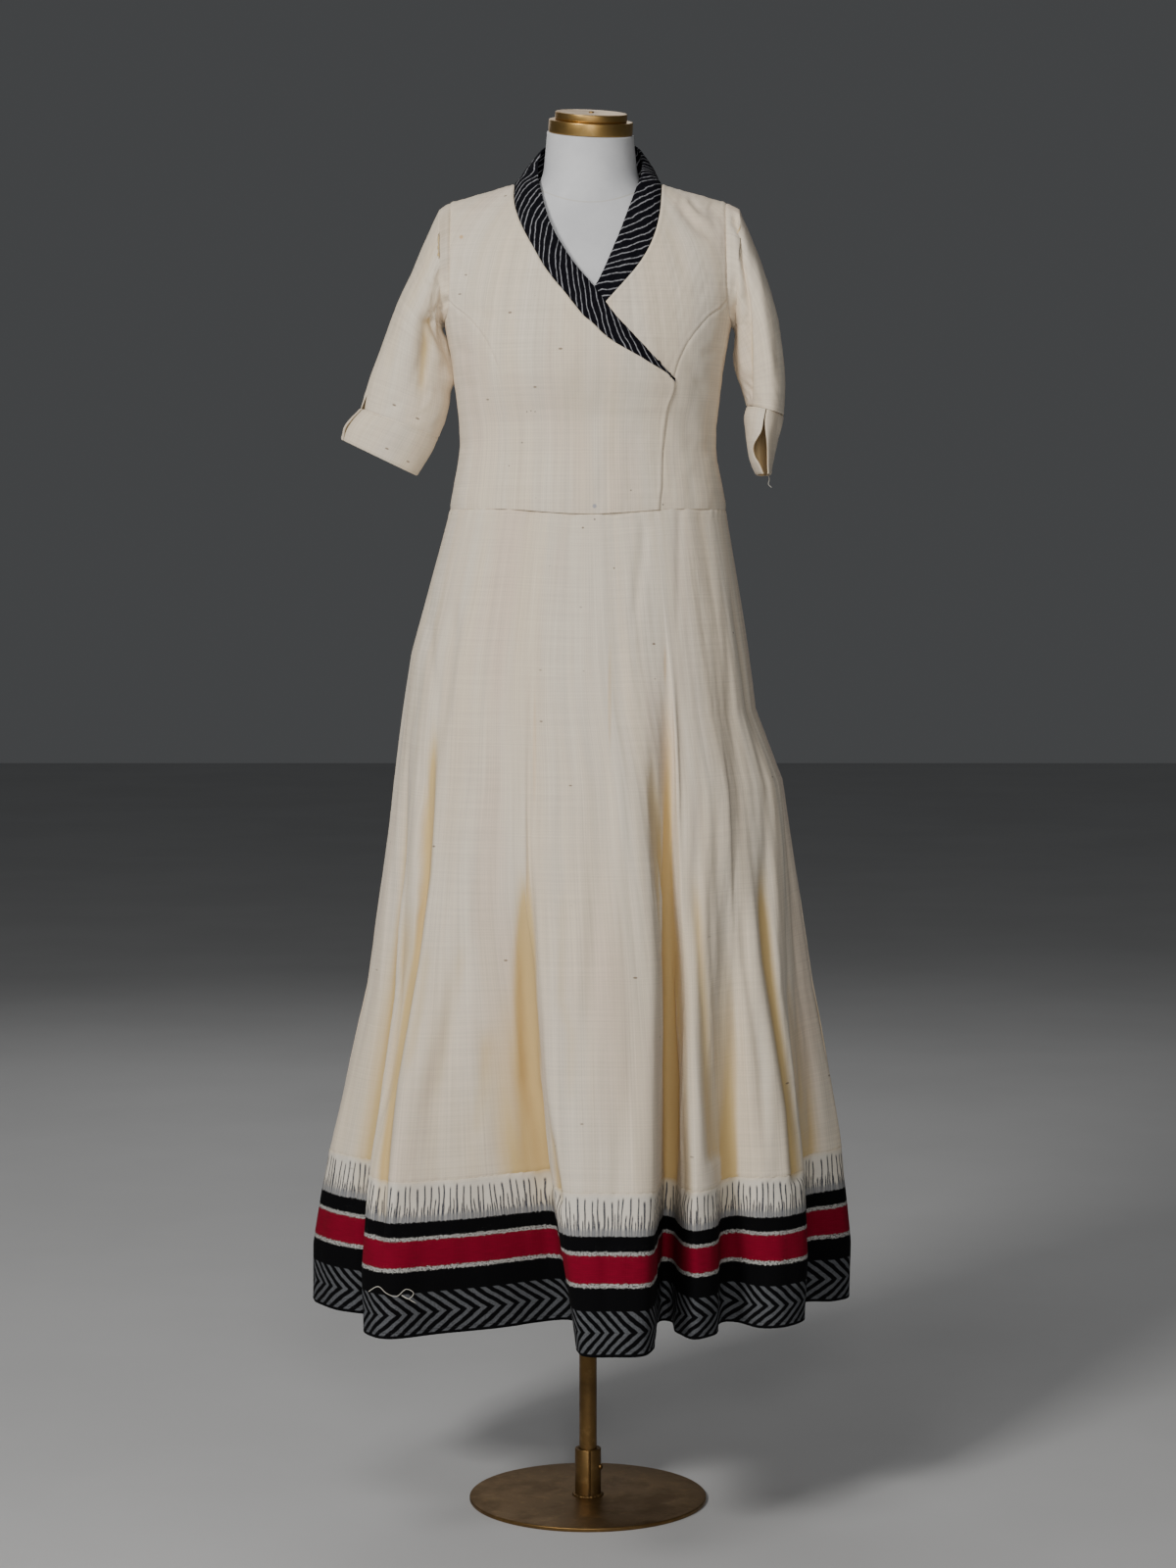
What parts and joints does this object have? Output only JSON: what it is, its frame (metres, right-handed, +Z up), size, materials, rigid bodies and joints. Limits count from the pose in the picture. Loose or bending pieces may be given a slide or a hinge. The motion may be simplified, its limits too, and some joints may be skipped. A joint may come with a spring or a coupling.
{
  "type": "maxi dress on a limbless dress form and stand",
  "caption": "Wrap-front maxi dress with elbow sleeves, striped shawl collar and patterned hem border, on a limbless dress form with a pole and a round base plate.",
  "frame": {"origin": "centre of the base plate's underside, where the stand rests on the floor", "axes": "+Z up along the pole, -Y the way the dress faces, +X the wearer's left"},
  "size_m": [0.675, 0.6637, 1.7471],
  "materials": {
    "cotton": "unbleached handloom cotton, matt",
    "stripe": "black cotton with thin cream stripes, matt",
    "border": "woven band in black, crimson, white and grey, matt",
    "form": "white, low gloss",
    "brass": "aged brass",
    "bronze": "bronze-brown, slightly worn"
  },
  "bodies": {
    "root": {"front_right": "cotton", "front_left": "cotton", "side_front_right": "cotton", "side_front_left": "cotton", "back_bodice": "cotton", "collar_right": "stripe", "collar_left": "stripe", "sleeve_right": "cotton", "sleeve_left": "cotton", "cuff_right": "cotton", "cuff_left": "cotton", "skirt_front": "cotton", "skirt_back": "cotton", "border_front": "border", "border_back": "border", "form_torso": "form", "neck_cap_lower": "brass", "neck_cap_upper": "brass", "pole": "bronze", "pole_socket": "bronze", "base_plate": "bronze"}
  },
  "joints": []
}
